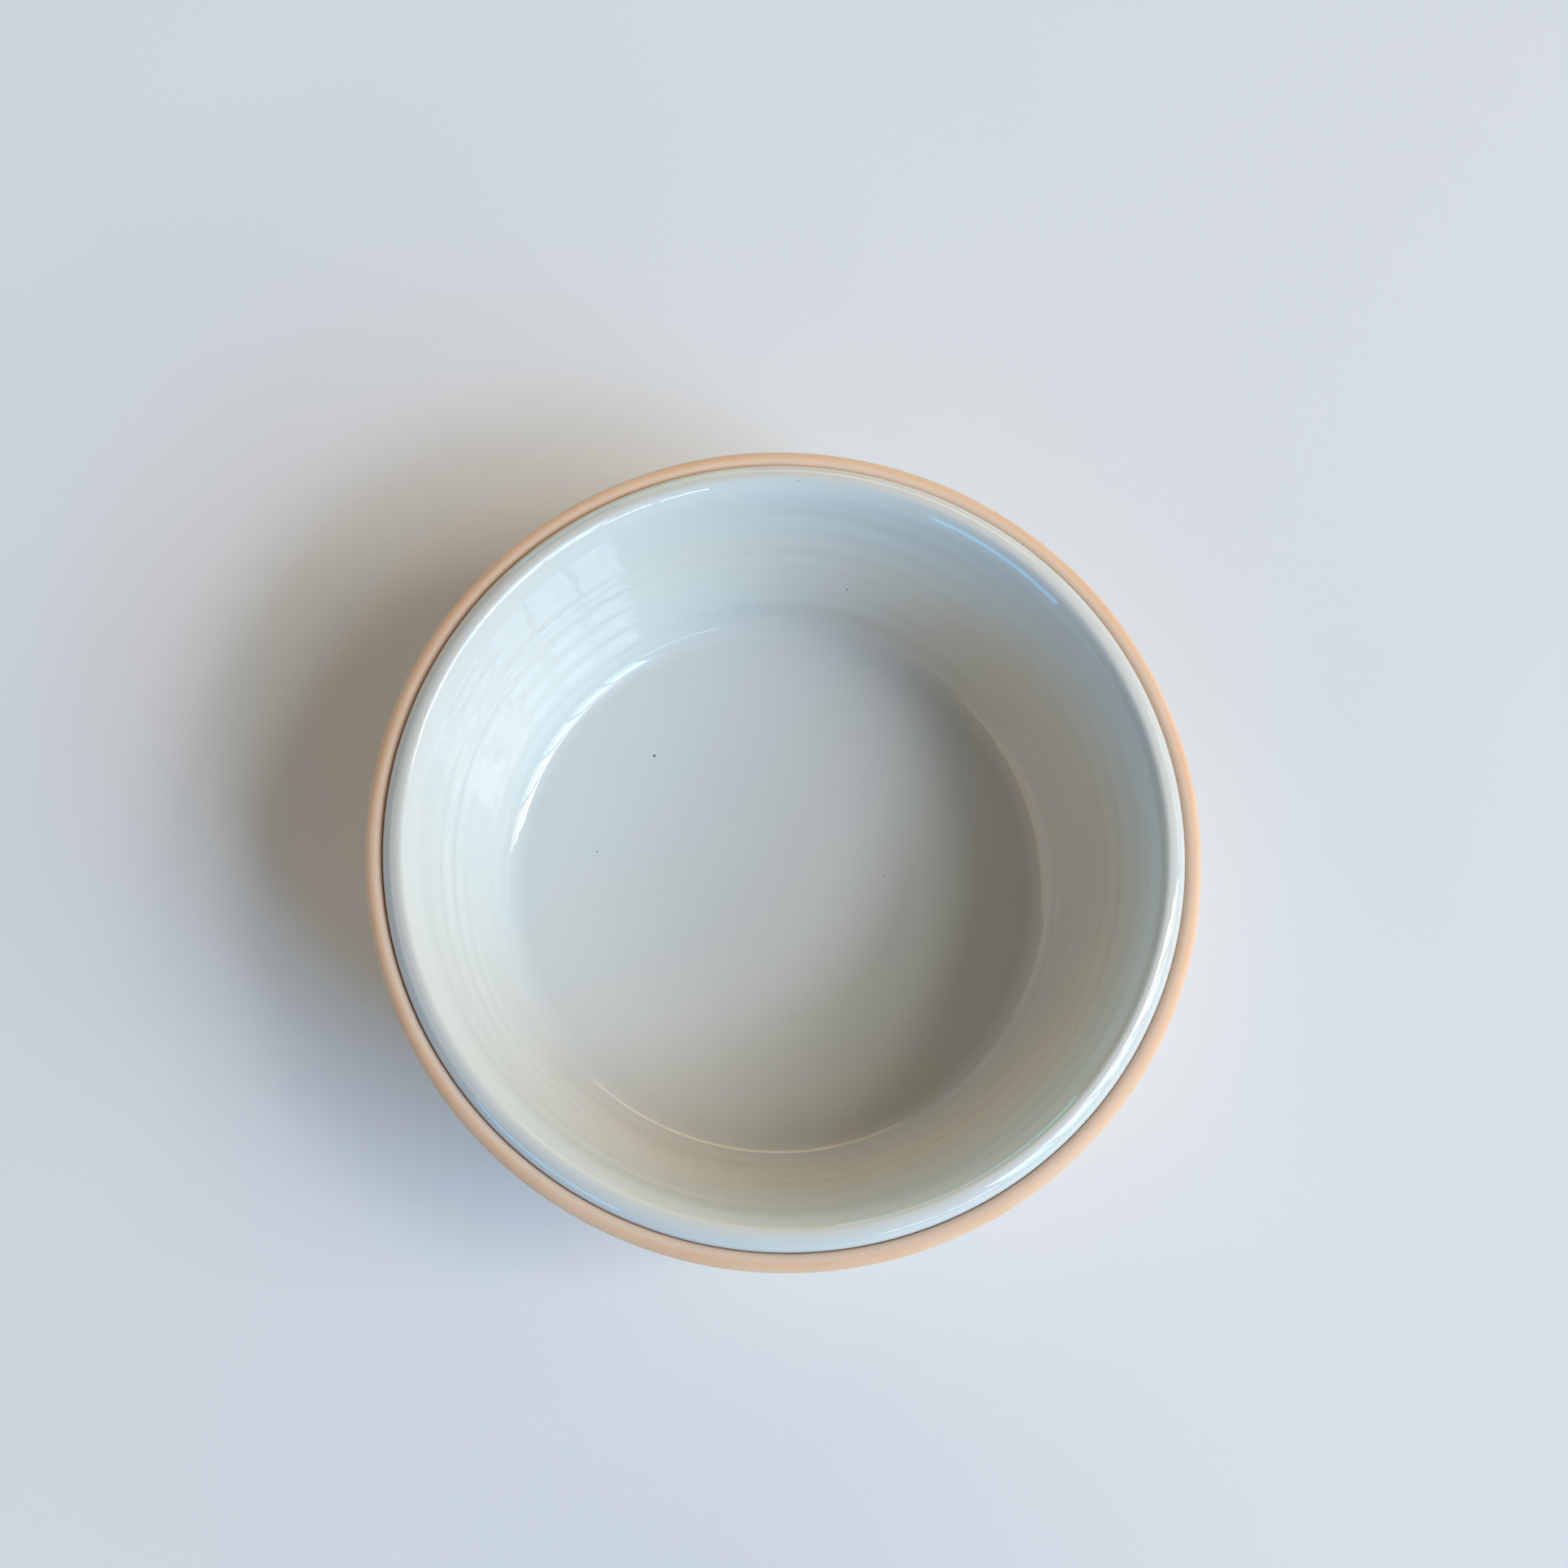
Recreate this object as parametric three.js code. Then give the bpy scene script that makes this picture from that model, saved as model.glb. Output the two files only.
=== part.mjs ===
// A round, flat-bottomed dish of white glazed ceramic, standing in a close-fitting cup of soft peach rubber.
// Millimetres, +Z up. The origin is the middle of the underside of the sleeve, where the whole stands on a table.
// Both pieces are turned forms: each profile lies in the plane of radius (x) and height (y), and is revolved
// about the upright axis.
import * as THREE from "three";

// Whole object
const OVERALL_DIAMETER = 130;
const OVERALL_HEIGHT = 47.6;
const FIT_GAP = 0.3; // clearance all round between the dish and the sleeve
const OUTER_TAPER = THREE.MathUtils.degToRad(14.7); // lean of the outer walls from upright

// Sleeve
const SLEEVE_HEIGHT = 45.4;
const SLEEVE_WALL = 2.7;
const SLEEVE_EDGE_RADIUS = 1.6; // rounding of the top edge, outside
const SLEEVE_LIP_RADIUS = 0.8; // rounding of the top edge, inside
const SLEEVE_CORNER_RADIUS = 10.8; // from the outer wall to the underside
const VENT_RADIUS = 4; // air hole in the middle of the base
const REST_RING_INNER_RADIUS = 34;
const UNDERSIDE_RECESS = 0.6;

// Dish
const RIM_SHOULDER_RADIUS = 2.8; // outer rounding of the rim
const RIM_CROWN_RADIUS = 1; // inner rounding next to the top of the rim
const RIM_FLARE_RADIUS = 7; // gentle flare between the crown and the inner wall
const CROWN_END = THREE.MathUtils.degToRad(135); // where the crown passes into the flare
const INNER_TAPER = THREE.MathUtils.degToRad(13.5); // lean of the inner wall from upright
const FLOOR_HEIGHT = 8.1; // inner floor above the table
const FLOOR_FILLET_RADIUS = 4.8;
const FOOT_RING_WIDTH = 4;
const FOOT_RECESS = 1.3;
const FOOT_FILLET_RADIUS = 0.9;

const TURN_SEGMENTS = 64;
const ARC_STEPS = 2; // a curve point list gives twice this many chords on each arc

const RIGHT = 0;
const UP = Math.PI / 2;
const LEFT = Math.PI;
const DOWN = -Math.PI / 2;

const wallNormal = new THREE.Vector2(Math.cos(OUTER_TAPER), -Math.sin(OUTER_TAPER));
const innerNormal = new THREE.Vector2(Math.cos(INNER_TAPER), -Math.sin(INNER_TAPER));

// The radius at which a circle's centre lies at this height, when the circle reaches a leaning wall from inside.
function centreRadius(normal, wallDistance, circleRadius, height) {
  return (wallDistance - circleRadius - normal.y * height) / normal.x;
}

// Adds an arc about a centre to the path, from one angle to another, the short way round.
function arc(path, centreX, centreY, radius, from, to) {
  path.absarc(centreX, centreY, radius, from, to, to < from);
}

// Revolves a profile about the upright axis, with +Z up.
function turned(path) {
  const geometry = new THREE.LatheGeometry(path.getPoints(ARC_STEPS), TURN_SEGMENTS);
  return geometry.rotateX(Math.PI / 2);
}

function mesh(name, geometry, colour, roughness) {
  const material = new THREE.MeshStandardMaterial({ color: colour, roughness, metalness: 0 });
  const made = new THREE.Mesh(geometry, material);
  made.name = name;
  return made;
}

// The leaning outer walls are parallel lines, given by their distance from the origin along the wall's normal.
const sleeveEdge = {
  x: OVERALL_DIAMETER / 2 - SLEEVE_EDGE_RADIUS,
  y: SLEEVE_HEIGHT - SLEEVE_EDGE_RADIUS,
};
const sleeveOutside = wallNormal.x * sleeveEdge.x + wallNormal.y * sleeveEdge.y + SLEEVE_EDGE_RADIUS;
const sleeveInside = sleeveOutside - SLEEVE_WALL;
const dishOutside = sleeveInside - FIT_GAP;

// Outer wall, inner wall and dish all turn into their flat bottoms about this one centre.
const corner = {
  x: centreRadius(wallNormal, sleeveOutside, SLEEVE_CORNER_RADIUS, SLEEVE_CORNER_RADIUS),
  y: SLEEVE_CORNER_RADIUS,
};

function sleeveProfile() {
  const lipHeight = SLEEVE_HEIGHT - SLEEVE_LIP_RADIUS;
  const lipRadius = (sleeveInside + SLEEVE_LIP_RADIUS - wallNormal.y * lipHeight) / wallNormal.x;
  const path = new THREE.Path();
  path.moveTo(VENT_RADIUS, UNDERSIDE_RECESS);
  path.lineTo(REST_RING_INNER_RADIUS - UNDERSIDE_RECESS, UNDERSIDE_RECESS);
  path.lineTo(REST_RING_INNER_RADIUS, 0);
  arc(path, corner.x, corner.y, SLEEVE_CORNER_RADIUS, DOWN, RIGHT - OUTER_TAPER);
  // The edge is two arcs, so that its widest place is a point of the outline.
  arc(path, sleeveEdge.x, sleeveEdge.y, SLEEVE_EDGE_RADIUS, RIGHT - OUTER_TAPER, RIGHT);
  arc(path, sleeveEdge.x, sleeveEdge.y, SLEEVE_EDGE_RADIUS, RIGHT, UP);
  arc(path, lipRadius, lipHeight, SLEEVE_LIP_RADIUS, UP, LEFT - OUTER_TAPER);
  arc(path, corner.x, corner.y, SLEEVE_CORNER_RADIUS - SLEEVE_WALL, RIGHT - OUTER_TAPER, DOWN);
  path.lineTo(VENT_RADIUS, SLEEVE_WALL);
  path.lineTo(VENT_RADIUS, UNDERSIDE_RECESS);
  return path;
}

function dishProfile() {
  const footHeight = SLEEVE_WALL + FIT_GAP;
  const recessHeight = footHeight + FOOT_RECESS;
  const footInner = corner.x - FOOT_RING_WIDTH;
  const shoulderHeight = OVERALL_HEIGHT - RIM_SHOULDER_RADIUS;
  const rimRadius = centreRadius(wallNormal, dishOutside, RIM_SHOULDER_RADIUS, shoulderHeight);
  const crownHeight = OVERALL_HEIGHT - RIM_CROWN_RADIUS;
  const flareShift = RIM_FLARE_RADIUS - RIM_CROWN_RADIUS;
  const flare = {
    x: rimRadius - flareShift * Math.cos(CROWN_END),
    y: crownHeight - flareShift * Math.sin(CROWN_END),
  };
  const innerWall = innerNormal.x * flare.x + innerNormal.y * flare.y - RIM_FLARE_RADIUS;
  const filletHeight = FLOOR_HEIGHT + FLOOR_FILLET_RADIUS;
  const filletX = centreRadius(innerNormal, innerWall, FLOOR_FILLET_RADIUS, filletHeight);

  const path = new THREE.Path();
  const footFillet = { x: footInner - FOOT_FILLET_RADIUS, y: recessHeight - FOOT_FILLET_RADIUS };
  path.moveTo(0, recessHeight);
  path.lineTo(footFillet.x, recessHeight);
  arc(path, footFillet.x, footFillet.y, FOOT_FILLET_RADIUS, UP, RIGHT);
  path.lineTo(footInner, footHeight);
  arc(path, corner.x, corner.y, corner.y - footHeight, DOWN, RIGHT - OUTER_TAPER);
  arc(path, rimRadius, shoulderHeight, RIM_SHOULDER_RADIUS, RIGHT - OUTER_TAPER, UP);
  arc(path, rimRadius, crownHeight, RIM_CROWN_RADIUS, UP, CROWN_END);
  arc(path, flare.x, flare.y, RIM_FLARE_RADIUS, CROWN_END, LEFT - INNER_TAPER);
  arc(path, filletX, filletHeight, FLOOR_FILLET_RADIUS, RIGHT - INNER_TAPER, DOWN);
  path.lineTo(0, FLOOR_HEIGHT);
  return path;
}

const sleeve = mesh("sleeve", turned(sleeveProfile()), 0xebbe96, 0.7);
const dish = mesh("dish", turned(dishProfile()), 0xe9ebea, 0.12);

const sleevedDish = new THREE.Group();
sleevedDish.add(sleeve, dish);

export default sleevedDish;
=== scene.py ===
"""The looks of a white glazed dish standing in its soft peach sleeve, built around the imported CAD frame.

Metres, +Z up, in the CAD's own frame. Both pieces are turned forms, so each is drawn as a profile of
(radius, height) points and revolved, with the small unevenness that throwing, firing and moulding leave.
"""
import math

import bpy
from mathutils import Matrix, Vector, noise


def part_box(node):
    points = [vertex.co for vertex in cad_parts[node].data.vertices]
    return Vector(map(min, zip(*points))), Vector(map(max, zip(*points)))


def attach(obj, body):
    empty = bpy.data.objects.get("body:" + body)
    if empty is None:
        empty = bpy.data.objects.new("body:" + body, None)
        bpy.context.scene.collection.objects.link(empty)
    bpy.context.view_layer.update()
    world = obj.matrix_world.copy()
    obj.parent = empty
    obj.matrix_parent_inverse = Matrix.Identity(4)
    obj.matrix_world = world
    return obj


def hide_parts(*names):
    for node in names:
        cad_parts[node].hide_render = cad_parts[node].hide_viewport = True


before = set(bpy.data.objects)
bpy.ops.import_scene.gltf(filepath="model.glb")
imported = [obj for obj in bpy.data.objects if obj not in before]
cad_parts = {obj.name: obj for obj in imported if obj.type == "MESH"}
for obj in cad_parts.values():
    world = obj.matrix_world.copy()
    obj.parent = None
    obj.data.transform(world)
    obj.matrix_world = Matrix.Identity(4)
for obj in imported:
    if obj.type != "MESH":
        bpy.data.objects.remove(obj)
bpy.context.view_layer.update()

MM = 0.001

# Heights that the frame's boxes settle
DISH_LOW, DISH_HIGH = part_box("dish")
SLEEVE_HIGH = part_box("sleeve")[1]
SLEEVE_TOP = SLEEVE_HIGH.z
RIM_TOP = DISH_HIGH.z
FOOT_HEIGHT = DISH_LOW.z

# Shape of both pieces, as in the CAD
SLEEVE_RADIUS = 65 * MM
FIT_GAP = 0.3 * MM
SLEEVE_WALL = FOOT_HEIGHT - FIT_GAP
OUTER_TAPER = math.radians(14.7)
INNER_TAPER = math.radians(13.5)
SLEEVE_EDGE_RADIUS = 1.6 * MM
SLEEVE_LIP_RADIUS = 0.8 * MM
SLEEVE_CORNER_RADIUS = 10.8 * MM
VENT_RADIUS = 4 * MM
REST_RING_INNER_RADIUS = 34 * MM
UNDERSIDE_RECESS = 0.6 * MM
RIM_SHOULDER_RADIUS = 2.8 * MM
RIM_CROWN_RADIUS = 1 * MM
RIM_FLARE_RADIUS = 7 * MM
CROWN_END = math.radians(135)
FLOOR_HEIGHT = 8.1 * MM
FLOOR_FILLET_RADIUS = 4.8 * MM
FOOT_RING_WIDTH = 4 * MM
FOOT_RECESS = 1.3 * MM
FOOT_FILLET_RADIUS = 0.9 * MM

# How far the real pieces stray from the ideal turned forms
OUT_OF_ROUND = 0.12 * MM
RIM_DIP = 0.25 * MM
RING_DEPTH = 0.08 * MM  # throwing rings inside the wall
RING_SPACING = 5.4 * MM
RING_START = 2 * MM  # above the floor
RING_FADE = 5 * MM  # below the rim's top
FLOOR_WAVE = 0.05 * MM
FLOOR_WAVE_LENGTH = 14 * MM
FLOOR_WAVE_FADE = 8 * MM  # the waves die away over this width near the floor's edge
FLOOR_SPECKS = ((-26, 18, 0.3), (18.5, 4.5, 0.14), (27.5, -20, 0.12))  # place and radius in mm
SLEEVE_EDGE_DIP = 0.2 * MM
SLEEVE_HUG = 0.24 * MM  # the soft lip closes most of the fit gap
SLEEVE_HUG_DEPTH = 5 * MM  # how far below the sleeve's top that starts
NOISE_GAIN = 1.6  # brings the noise up to about -1 to 1

RIGHT, UP, LEFT, DOWN = 0, math.pi / 2, math.pi, -math.pi / 2
TURN_SEGMENTS = 288
SAME_POINT = 1e-7  # points closer than this are one point
ON_AXIS = 1e-9  # a radius smaller than this is on the axis


# ---------------------------------------------------------------- profiles

def arc(centre, radius, start, end, steps):
    """Points on a circle about centre, from the start angle to the end angle."""
    angles = [start + (end - start) * i / steps for i in range(steps + 1)]
    return [(centre[0] + radius * math.cos(a), centre[1] + radius * math.sin(a)) for a in angles]


def line(start, end, steps):
    """Points on a straight line, without its two ends."""
    shares = [i / steps for i in range(1, steps)]
    return [tuple(a + (b - a) * t for a, b in zip(start, end)) for t in shares]


def joined(*stretches):
    """One run of points, with a point that repeats the one before left out."""
    points = []
    for stretch in stretches:
        for p in stretch:
            if not points or math.dist(p, points[-1]) > SAME_POINT:
                points.append(p)
    return points


def centre_radius(normal, wall_distance, circle_radius, height):
    """The radius at which a circle at this height touches a leaning wall from inside."""
    return (wall_distance - circle_radius - normal[1] * height) / normal[0]


WALL_NORMAL = (math.cos(OUTER_TAPER), -math.sin(OUTER_TAPER))
INNER_NORMAL = (math.cos(INNER_TAPER), -math.sin(INNER_TAPER))
SLEEVE_EDGE = (SLEEVE_RADIUS - SLEEVE_EDGE_RADIUS, SLEEVE_TOP - SLEEVE_EDGE_RADIUS)
SLEEVE_OUTSIDE = WALL_NORMAL[0] * SLEEVE_EDGE[0] + WALL_NORMAL[1] * SLEEVE_EDGE[1] + SLEEVE_EDGE_RADIUS
SLEEVE_INSIDE = SLEEVE_OUTSIDE - SLEEVE_WALL
DISH_OUTSIDE = SLEEVE_INSIDE - FIT_GAP
CORNER = (
    centre_radius(WALL_NORMAL, SLEEVE_OUTSIDE, SLEEVE_CORNER_RADIUS, SLEEVE_CORNER_RADIUS),
    SLEEVE_CORNER_RADIUS,
)


def sleeve_profile():
    """A closed loop round the sleeve's wall, from the vent hole's lower edge and back to it."""
    lip_height = SLEEVE_TOP - SLEEVE_LIP_RADIUS
    lip = ((SLEEVE_INSIDE + SLEEVE_LIP_RADIUS - WALL_NORMAL[1] * lip_height) / WALL_NORMAL[0], lip_height)
    vent_low = (VENT_RADIUS, UNDERSIDE_RECESS)
    vent_high = (VENT_RADIUS, SLEEVE_WALL)
    ring_top = (REST_RING_INNER_RADIUS - UNDERSIDE_RECESS, UNDERSIDE_RECESS)
    ring_low = (REST_RING_INNER_RADIUS, 0)
    outer_corner = arc(CORNER, SLEEVE_CORNER_RADIUS, DOWN, -OUTER_TAPER, 20)
    edge = arc(SLEEVE_EDGE, SLEEVE_EDGE_RADIUS, -OUTER_TAPER, UP, 14)
    lip_arc = arc(lip, SLEEVE_LIP_RADIUS, UP, LEFT - OUTER_TAPER, 6)
    inner_corner = arc(CORNER, SLEEVE_CORNER_RADIUS - SLEEVE_WALL, -OUTER_TAPER, DOWN, 16)
    return joined(
        [vent_low], line(vent_low, ring_top, 6), [ring_top], [ring_low],
        line(ring_low, outer_corner[0], 3), outer_corner,
        line(outer_corner[-1], edge[0], 30), edge, lip_arc,
        line(lip_arc[-1], inner_corner[0], 16), inner_corner,
        line(inner_corner[-1], vent_high, 8), [vent_high], line(vent_high, vent_low, 3),
    )


RIM_RADIUS = centre_radius(WALL_NORMAL, DISH_OUTSIDE, RIM_SHOULDER_RADIUS, RIM_TOP - RIM_SHOULDER_RADIUS)
FILLET_TOP = FLOOR_HEIGHT + FLOOR_FILLET_RADIUS


def dish_outside():
    """From the axis under the floor, round the foot, up the outside and over the shoulder."""
    recess_height = FOOT_HEIGHT + FOOT_RECESS
    foot_inner = CORNER[0] - FOOT_RING_WIDTH
    foot_fillet = (foot_inner - FOOT_FILLET_RADIUS, recess_height - FOOT_FILLET_RADIUS)
    under_centre = (0, recess_height)
    foot_edge = (foot_inner, FOOT_HEIGHT)
    foot_recess = arc(foot_fillet, FOOT_FILLET_RADIUS, UP, RIGHT, 6)
    corner = arc(CORNER, CORNER[1] - FOOT_HEIGHT, DOWN, -OUTER_TAPER, 16)
    shoulder = arc((RIM_RADIUS, RIM_TOP - RIM_SHOULDER_RADIUS), RIM_SHOULDER_RADIUS, -OUTER_TAPER, UP, 20)
    return joined(
        [under_centre], line(under_centre, foot_recess[0], 8), foot_recess,
        [foot_edge], line(foot_edge, corner[0], 3), corner,
        line(corner[-1], shoulder[0], 24), shoulder,
    )


def dish_inside():
    """From the rim's top, down the crown, flare, wall and fillet, and over the floor to the axis."""
    crown = (RIM_RADIUS, RIM_TOP - RIM_CROWN_RADIUS)
    flare_shift = RIM_FLARE_RADIUS - RIM_CROWN_RADIUS
    flare = (crown[0] - flare_shift * math.cos(CROWN_END), crown[1] - flare_shift * math.sin(CROWN_END))
    inner_wall = INNER_NORMAL[0] * flare[0] + INNER_NORMAL[1] * flare[1] - RIM_FLARE_RADIUS
    fillet = (centre_radius(INNER_NORMAL, inner_wall, FLOOR_FILLET_RADIUS, FILLET_TOP), FILLET_TOP)
    crown_arc = arc(crown, RIM_CROWN_RADIUS, UP, CROWN_END, 12)
    flare_arc = arc(flare, RIM_FLARE_RADIUS, CROWN_END, LEFT - INNER_TAPER, 20)
    fillet_arc = arc(fillet, FLOOR_FILLET_RADIUS, -INNER_TAPER, DOWN, 32)
    floor_centre = (0, FLOOR_HEIGHT)
    return joined(
        crown_arc, flare_arc, line(flare_arc[-1], fillet_arc[0], 90), fillet_arc,
        line(fillet_arc[-1], floor_centre, 40), [floor_centre],
    )


# ---------------------------------------------------------------- how the real pieces stray

def smooth_step(value, start, end):
    """0 before start, 1 after end, and a smooth rise between them."""
    share = min(max((value - start) / (end - start), 0), 1)
    return share * share * (3 - 2 * share)


def wobble(angle, liveliness, seed):
    """A smooth run of chance values from about -1 to 1 that closes up on itself round the turn."""
    place = Vector((liveliness * math.cos(angle), liveliness * math.sin(angle), seed))
    return NOISE_GAIN * noise.noise(place)


def out_of_round(height, angle):
    """How far firing has drawn the dish inwards, more so towards the top. The soft sleeve follows it."""
    share = (height / RIM_TOP) ** 2
    return min(-share * OUT_OF_ROUND * (0.5 + 0.5 * wobble(angle, 0.7, 3.1)), 0)


def fired(radius, height, angle):
    """The dish is a little out of round, and its rim a little out of level."""
    share = (height / RIM_TOP) ** 2
    up = -share * RIM_DIP * (0.5 + 0.5 * wobble(angle, 0.6, 8.4))
    return out_of_round(height, angle), min(up, 0)


def thrown(radius, height, angle):
    """Inside, fingers leave faint, nearly level rings up the wall, and the floor has slow waves."""
    out, up = fired(radius, height, angle)
    above_floor = smooth_step(height, FLOOR_HEIGHT + RING_START, FILLET_TOP)
    below_rim = smooth_step(height, RIM_TOP, RIM_TOP - RING_FADE)
    on_wall = above_floor * below_rim
    turns = height / RING_SPACING + 0.25 * wobble(angle, 1.1, 4.6)
    strength = 0.6 + 0.8 * wobble(angle, 0.9, 9.5 + height / (2 * RING_SPACING))
    out += on_wall * RING_DEPTH * strength * math.sin(2 * math.pi * turns)
    on_floor = smooth_step(radius, CORNER[0], CORNER[0] - FLOOR_WAVE_FADE)
    x, y = radius * math.cos(angle), radius * math.sin(angle)
    wave = noise.noise(Vector((x / FLOOR_WAVE_LENGTH, y / FLOOR_WAVE_LENGTH, 5.7)))
    return out, up + on_floor * FLOOR_WAVE * wave


def moulded(radius, height, angle):
    """The soft sleeve follows the dish, closes in on it at the lip, and its top edge dips slightly."""
    share = (height / SLEEVE_TOP) ** 2
    at_lip = smooth_step(height, SLEEVE_TOP - SLEEVE_HUG_DEPTH, SLEEVE_TOP - SLEEVE_LIP_RADIUS)
    inside = smooth_step(radius, SLEEVE_RADIUS - SLEEVE_EDGE_RADIUS, SLEEVE_RADIUS - SLEEVE_WALL)
    up = -share * SLEEVE_EDGE_DIP * (0.5 + 0.5 * wobble(angle, 0.9, 6.2))
    return out_of_round(height, angle) - at_lip * inside * SLEEVE_HUG, min(up, 0)


# ---------------------------------------------------------------- turning a profile into a mesh

def turned_mesh(name, stretches, closed):
    """Revolves a profile, given as stretches of (points, shift).

    shift(radius, height, angle) says how far out and up the real surface is from that point.
    """
    vertices = []
    rings = []
    last = None
    for points, shift in stretches:
        for radius, height in points:
            if last and math.dist(last, (radius, height)) < SAME_POINT:
                continue
            last = (radius, height)
            if radius < ON_AXIS:
                rings.append([len(vertices)] * TURN_SEGMENTS)
                vertices.append((0, 0, height + shift(0, height, 0)[1]))
                continue
            rings.append(range(len(vertices), len(vertices) + TURN_SEGMENTS))
            for k in range(TURN_SEGMENTS):
                angle = 2 * math.pi * k / TURN_SEGMENTS
                out, up = shift(radius, height, angle)
                reach = radius + out
                vertices.append((reach * math.cos(angle), reach * math.sin(angle), height + up))
    pairs = list(zip(rings, rings[1:]))
    if closed:
        pairs.append((rings[-1], rings[0]))
    faces = []
    for low, high in pairs:
        for k in range(TURN_SEGMENTS):
            n = (k + 1) % TURN_SEGMENTS
            faces.append(list(dict.fromkeys([low[k], low[n], high[n], high[k]])))
    data = bpy.data.meshes.new(name)
    data.from_pydata(vertices, [], faces)
    data.validate()
    data.shade_smooth()
    made = bpy.data.objects.new(name, data)
    bpy.context.scene.collection.objects.link(made)
    return made


# ---------------------------------------------------------------- materials

class Material:
    """A material's node tree, with short ways to add nodes.

    Patterns are laid out in the piece's own space.
    """

    def __init__(self, name):
        self.made = bpy.data.materials.new(name)
        self.made.use_nodes = True
        self.tree = self.made.node_tree
        self.shader = self.tree.nodes["Principled BSDF"]
        self.place = self.tree.nodes.new("ShaderNodeTexCoord").outputs["Object"]

    def join(self, source, socket):
        """Feeds a socket from another node, or sets it where the source is a plain value."""
        if isinstance(source, bpy.types.NodeSocket):
            self.tree.links.new(source, socket)
        else:
            socket.default_value = source

    def grain(self, size, detail=2, stretch=(1, 1, 1)):
        """Soft noise from 0 to 1 with features of this size."""
        spread = self.tree.nodes.new("ShaderNodeVectorMath")
        spread.operation = "MULTIPLY"
        self.join(self.place, spread.inputs[0])
        spread.inputs[1].default_value = stretch
        node = self.tree.nodes.new("ShaderNodeTexNoise")
        self.join(spread.outputs[0], node.inputs["Vector"])
        node.inputs["Scale"].default_value = 1 / size
        node.inputs["Detail"].default_value = detail
        return node.outputs["Fac"]

    def dots(self, spacing, radius, keep):
        """1 on small round dots, about one in each cell of this spacing, of which the given share is kept."""
        cells = self.tree.nodes.new("ShaderNodeTexVoronoi")
        self.join(self.place, cells.inputs["Vector"])
        cells.inputs["Scale"].default_value = 1 / spacing
        near = self.ramp(cells.outputs["Distance"], radius / spacing, 0.5 * radius / spacing)
        chosen = self.tree.nodes.new("ShaderNodeSeparateColor")
        self.join(cells.outputs["Color"], chosen.inputs[0])
        return self.maths("MULTIPLY", near, self.maths("LESS_THAN", chosen.outputs[0], keep))

    def spot(self, x, y, radius):
        """1 on one round spot at this place, seen from above."""
        return self.ramp(self.radius(x, y), radius, 0.5 * radius)

    def maths(self, operation, first, second):
        """One sum on two values or sockets."""
        node = self.tree.nodes.new("ShaderNodeMath")
        node.operation = operation
        self.join(first, node.inputs[0])
        self.join(second, node.inputs[1])
        return node.outputs[0]

    def ramp(self, value, start, end, low=0, high=1):
        """The value carried from the range start to end over to the range low to high, smoothly."""
        node = self.tree.nodes.new("ShaderNodeMapRange")
        node.interpolation_type = "SMOOTHSTEP"
        self.join(value, node.inputs["Value"])
        node.inputs["From Min"].default_value = start
        node.inputs["From Max"].default_value = end
        node.inputs["To Min"].default_value = low
        node.inputs["To Max"].default_value = high
        return node.outputs["Result"]

    def mix(self, share, first, second):
        """A colour between the first and the second."""
        node = self.tree.nodes.new("ShaderNodeMix")
        node.data_type = "RGBA"
        self.join(share, node.inputs["Factor"])
        for source, socket in ((first, node.inputs["A"]), (second, node.inputs["B"])):
            self.join(source if isinstance(source, bpy.types.NodeSocket) else (*source, 1), socket)
        return node.outputs["Result"]

    def height(self):
        """How high a point is on the piece, in metres."""
        node = self.tree.nodes.new("ShaderNodeSeparateXYZ")
        self.join(self.place, node.inputs[0])
        return node.outputs["Z"]

    def radius(self, x=0, y=0):
        """How far a point is from an upright line at this place, in metres."""
        flat = self.tree.nodes.new("ShaderNodeVectorMath")
        flat.operation = "MULTIPLY"
        self.join(self.place, flat.inputs[0])
        flat.inputs[1].default_value = (1, 1, 0)
        node = self.tree.nodes.new("ShaderNodeVectorMath")
        node.operation = "DISTANCE"
        self.join(flat.outputs[0], node.inputs[0])
        node.inputs[1].default_value = (x, y, 0)
        return node.outputs["Value"]

    def bump(self, relief, depth, under=None):
        """Raises the surface by up to this depth where the relief is 1, over any bump already made."""
        node = self.tree.nodes.new("ShaderNodeBump")
        node.inputs["Strength"].default_value = 1
        node.inputs["Distance"].default_value = depth
        self.join(relief, node.inputs["Height"])
        if under:
            self.join(under, node.inputs["Normal"])
        return node.outputs["Normal"]


GLAZE_WHITE = (0.71, 0.7, 0.65)
GLAZE_COOL = (0.68, 0.69, 0.655)
GLAZE_THIN = (0.7, 0.67, 0.61)
SPECK_BROWN = (0.09, 0.07, 0.05)
BISQUE = (0.6, 0.5, 0.4)
BISQUE_PALE = (0.68, 0.59, 0.48)
PEACH = (0.82, 0.5, 0.3)
PEACH_PALE = (0.84, 0.55, 0.36)
# The next colour is a painted sheen: a paler peach for the top of the sleeve's lip.
PEACH_PAINTED_SHEEN = (0.86, 0.63, 0.47)
LOW_STREAK_BROWN = (0.55, 0.36, 0.24)
DUST_WHITE = (0.85, 0.82, 0.78)
TABLE_WHITE = (0.8, 0.8, 0.8)
TABLE_SHADE = (0.77, 0.78, 0.79)


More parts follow.
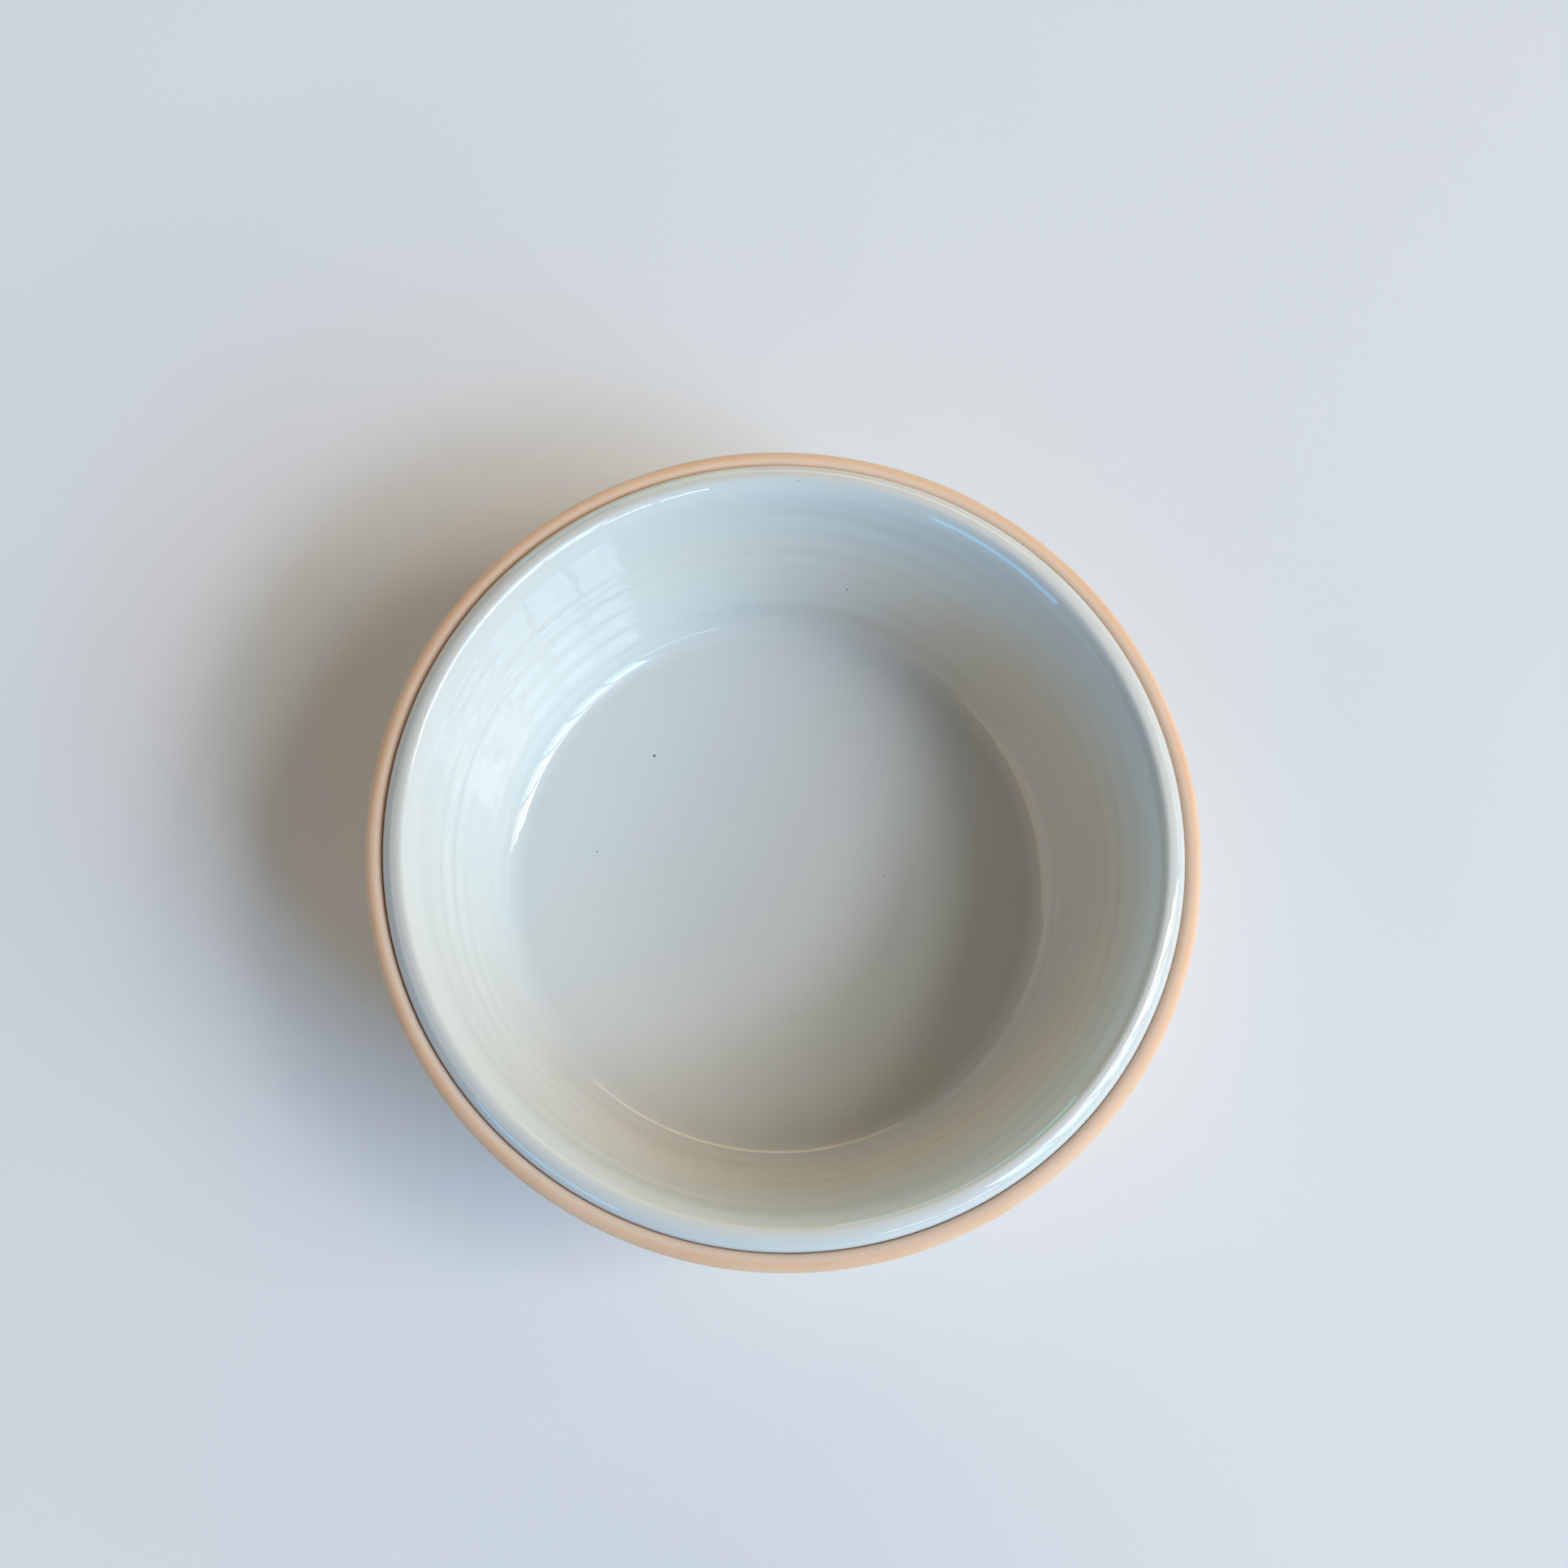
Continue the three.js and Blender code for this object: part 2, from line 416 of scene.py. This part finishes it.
def glaze():
    """White gloss glaze, cooler in patches, cream on the rim, with specks and a bare foot ring."""
    m = Material("white_glaze")
    height = m.height()
    colour = m.mix(m.grain(22 * MM), GLAZE_WHITE, GLAZE_COOL)
    thin = m.maths("MULTIPLY", m.ramp(height, RIM_TOP - 3 * MM, RIM_TOP), m.grain(9 * MM))
    colour = m.mix(thin, colour, GLAZE_THIN)
    specks = m.maths("MAXIMUM", m.dots(11 * MM, 0.26 * MM, 0.5), m.dots(5 * MM, 0.12 * MM, 0.4))
    above_floor = m.ramp(height, FLOOR_HEIGHT - 1 * MM, FLOOR_HEIGHT - 0.5 * MM)
    for x, y, size in FLOOR_SPECKS:
        spot = m.maths("MULTIPLY", m.spot(x * MM, y * MM, size * MM), above_floor)
        specks = m.maths("MAXIMUM", specks, spot)
    colour = m.mix(specks, colour, SPECK_BROWN)
    bare = m.ramp(m.maths("ADD", height, m.maths("MULTIPLY", m.grain(2 * MM), 0.5 * MM)),
                  FOOT_HEIGHT + 0.75 * MM, FOOT_HEIGHT + 0.6 * MM)
    clay = m.mix(m.grain(0.6 * MM, 6), BISQUE, BISQUE_PALE)
    m.join(m.mix(bare, colour, clay), m.shader.inputs["Base Color"])
    gloss = m.ramp(m.grain(6 * MM, 4), 0.3, 0.7, 0.02, 0.045)
    m.join(m.maths("MAXIMUM", gloss, m.maths("MULTIPLY", bare, 0.85)), m.shader.inputs["Roughness"])
    slow = m.bump(m.grain(5 * MM, 1), 0.03 * MM)
    peel = m.bump(m.grain(1.3 * MM, 1), 0.003 * MM, slow)
    pits = m.bump(m.maths("SUBTRACT", 1, m.dots(4 * MM, 0.18 * MM, 0.3)), 0.03 * MM, peel)
    sand = m.bump(m.maths("MULTIPLY", m.grain(0.25 * MM, 6), bare), 0.08 * MM, pits)
    m.join(sand, m.shader.inputs["Normal"])
    m.shader.inputs["IOR"].default_value = 1.5
    return m.made


def silicone():
    """Matt peach silicone with a fine moulded grain, a painted sheen on the top of its lip, brown streaks
    that grow darker towards the bottom of the wall, and a little dust.
    """
    m = Material("sleeve_rubber")
    height = m.height()
    colour = m.mix(m.ramp(m.grain(14 * MM, 3), 0.3, 0.7), PEACH, PEACH_PALE)
    # Painted sheen: near its inner edge, the top of the lip is painted paler peach in place of the sheen and
    # light that fall on it.
    lip = m.maths("MULTIPLY", m.ramp(m.radius(), SLEEVE_RADIUS - 1.1 * MM, SLEEVE_RADIUS - 2.1 * MM),
                  m.ramp(height, SLEEVE_TOP - 4 * MM, SLEEVE_TOP - 1.5 * MM))
    colour = m.mix(lip, colour, PEACH_PAINTED_SHEEN)
    # Brown streaks, darker towards the bottom of the wall.
    low_streaks = m.maths("MULTIPLY", m.ramp(m.grain(3 * MM, 6, (1, 1, 4)), 0.55, 0.75),
                     m.ramp(height, 14 * MM, 2 * MM, 0, 0.35))
    colour = m.mix(low_streaks, colour, LOW_STREAK_BROWN)
    colour = m.mix(m.maths("MULTIPLY", m.dots(3 * MM, 0.1 * MM, 0.4), 0.6), colour, DUST_WHITE)
    m.join(colour, m.shader.inputs["Base Color"])
    m.join(m.ramp(m.grain(4 * MM, 5), 0.3, 0.7, 0.5, 0.62), m.shader.inputs["Roughness"])
    slow = m.bump(m.grain(7 * MM, 2), 0.03 * MM)
    fine = m.bump(m.grain(0.35 * MM, 3), 0.006 * MM, slow)
    m.join(fine, m.shader.inputs["Normal"])
    m.shader.inputs["IOR"].default_value = 1.41
    m.shader.inputs["Subsurface Weight"].default_value = 0.35
    m.shader.inputs["Subsurface Radius"].default_value = (1, 0.5, 0.25)
    m.shader.inputs["Subsurface Scale"].default_value = 2 * MM
    return m.made


def table_top():
    """A plain pale surface with very slow, faint changes of tone."""
    m = Material("table")
    m.join(m.mix(m.grain(120 * MM, 2), TABLE_WHITE, TABLE_SHADE), m.shader.inputs["Base Color"])
    m.shader.inputs["Roughness"].default_value = 0.7
    m.join(m.bump(m.grain(1.5 * MM, 3), 0.01 * MM), m.shader.inputs["Normal"])
    return m.made


# ---------------------------------------------------------------- the two pieces

dish = turned_mesh("glazed_dish", [(dish_outside(), fired), (dish_inside(), thrown)], closed=False)
dish.data.materials.append(glaze())
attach(dish, "dish")
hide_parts("dish")

sleeve = turned_mesh("peach_sleeve", [(sleeve_profile(), moulded)], closed=True)
sleeve.data.materials.append(silicone())
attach(sleeve, "sleeve")
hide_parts("sleeve")


# ---------------------------------------------------------------- floor, camera and light

FLOOR_HALF_WIDTH = 1.5


def make_floor():
    """A wide, flat table top under the sleeve."""
    low, high = -FLOOR_HALF_WIDTH, FLOOR_HALF_WIDTH
    corners = [(low, low, 0), (high, low, 0), (high, high, 0), (low, high, 0)]
    data = bpy.data.meshes.new("floor")
    data.from_pydata(corners, [], [(0, 1, 2, 3)])
    floor = bpy.data.objects.new("floor", data)
    bpy.context.scene.collection.objects.link(floor)
    data.materials.append(table_top())


CAMERA_TILT = math.radians(14.43)  # optical axis from straight down
CAMERA_ROLL = math.radians(11.1)
CAMERA_DISTANCE = 254.5 * MM
CAMERA_AIM = Vector((-2.2 * MM, 8.3 * MM, SLEEVE_TOP - SLEEVE_EDGE_RADIUS))
CAMERA_FOCAL_SHARE = 1.0352  # focal length over picture width
SENSOR_WIDTH = 36  # in millimetres, as Blender counts it


def make_camera():
    """Looks down at the dish from the place, tilt and roll that these values give."""
    data = bpy.data.cameras.new("camera")
    data.sensor_width = SENSOR_WIDTH
    data.lens = CAMERA_FOCAL_SHARE * SENSOR_WIDTH
    data.clip_start = 1 * MM
    camera = bpy.data.objects.new("camera", data)
    bpy.context.scene.collection.objects.link(camera)
    turn = Matrix.Rotation(CAMERA_TILT, 4, "X") @ Matrix.Rotation(CAMERA_ROLL, 4, "Z")
    back = Vector((0, -math.sin(CAMERA_TILT), math.cos(CAMERA_TILT)))
    camera.matrix_world = Matrix.Translation(CAMERA_AIM + back * CAMERA_DISTANCE) @ turn
    bpy.context.scene.camera = camera


LIGHT_DISTANCE = 5
ENERGY_PER_AREA = 4  # in watts per square metre, so that a light's colour is its brightness

# Lights away from the window, each (azimuth, elevation, width, height, colour)
ROOM_LIGHTS = {
    "back_low": (120, 6, 34, 11, (0.5, 2.8, 3.5)),
    "back_wall": (92, 24, 50, 18, (1.9, 1.3, 0.6)),
    "back_lamp": (86, 24, 40, 4, (1.6, 1.3, 1)),
    "fill_low": (240, 6, 30, 11, (0, 2.6, 5.5)),
    "fill_wall": (200, 32, 50, 18, (1.1, 0.8, 0.5)),
}
ROOM_COLOUR = (1, 1, 1)
ROOM_BRIGHTNESS = 0.1

# Rows of window panes, each (elevation, height, first pane, last pane, first colour, last colour)
WINDOW_ROWS = {
    "sill": (20, 2.5, 0, 8, (8, 10, 12), (10, 9, 7)),
    "lower": (30, 10, 2, 6, (1, 5.5, 8), (4, 4, 4)),
    "upper": (42, 10, 2, 6, (9.5, 12, 17.5), (8, 6.5, 5)),
    "top": (54, 10, 2, 6, (0, 1, 2.5), (10, 10, 9)),
}
WINDOW_START = -56  # azimuth of pane 0, in degrees
PANE_WIDTH = 10
PANE_BAR = 1.5


def softbox(name, azimuth, elevation, wide, tall, colour):
    """A soft light facing the dish.

    Its place and size are angles in degrees as the dish sees it, with the azimuth from +X towards +Y,
    and its colour is its brightness in red, green and blue.
    """
    data = bpy.data.lights.new(name, "AREA")
    data.shape = "RECTANGLE"
    data.size = 2 * LIGHT_DISTANCE * math.tan(math.radians(wide / 2))
    data.size_y = 2 * LIGHT_DISTANCE * math.tan(math.radians(tall / 2))
    data.energy = ENERGY_PER_AREA * data.size * data.size_y
    data.color = colour
    light = bpy.data.objects.new(name, data)
    light.visible_camera = False
    bpy.context.scene.collection.objects.link(light)
    a, e = math.radians(azimuth), math.radians(elevation)
    towards = Vector((math.cos(a) * math.cos(e), math.sin(a) * math.cos(e), math.sin(e)))
    light.location = towards * LIGHT_DISTANCE
    light.rotation_euler = towards.to_track_quat("Z", "Y").to_euler()


def blend(share, first, second):
    """A colour this share of the way from the first to the second."""
    return [a + (b - a) * share for a, b in zip(first, second)]


def make_window():
    """One softbox for each pane. A higher one looks narrower, so that all span the same azimuth."""
    for name, (elevation, tall, first, last, first_colour, last_colour) in WINDOW_ROWS.items():
        for i in range(first, last + 1):
            colour = blend((i - first) / (last - first), first_colour, last_colour)
            wide = PANE_WIDTH * math.cos(math.radians(elevation))
            azimuth = WINDOW_START + i * (PANE_WIDTH + PANE_BAR)
            softbox(f"{name}_{i}", azimuth, elevation, wide, tall, colour)


def make_world(colour, strength):
    """An even glow from all round, behind the lights."""
    world = bpy.data.worlds.new("studio")
    world.use_nodes = True
    background = world.node_tree.nodes["Background"]
    background.inputs["Color"].default_value = (*colour, 1)
    background.inputs["Strength"].default_value = strength
    bpy.context.scene.world = world


make_floor()
make_camera()
make_window()
for name, place_and_look in ROOM_LIGHTS.items():
    softbox(name, *place_and_look)
make_world(ROOM_COLOUR, ROOM_BRIGHTNESS)
bpy.context.scene.view_settings.view_transform = "Standard"
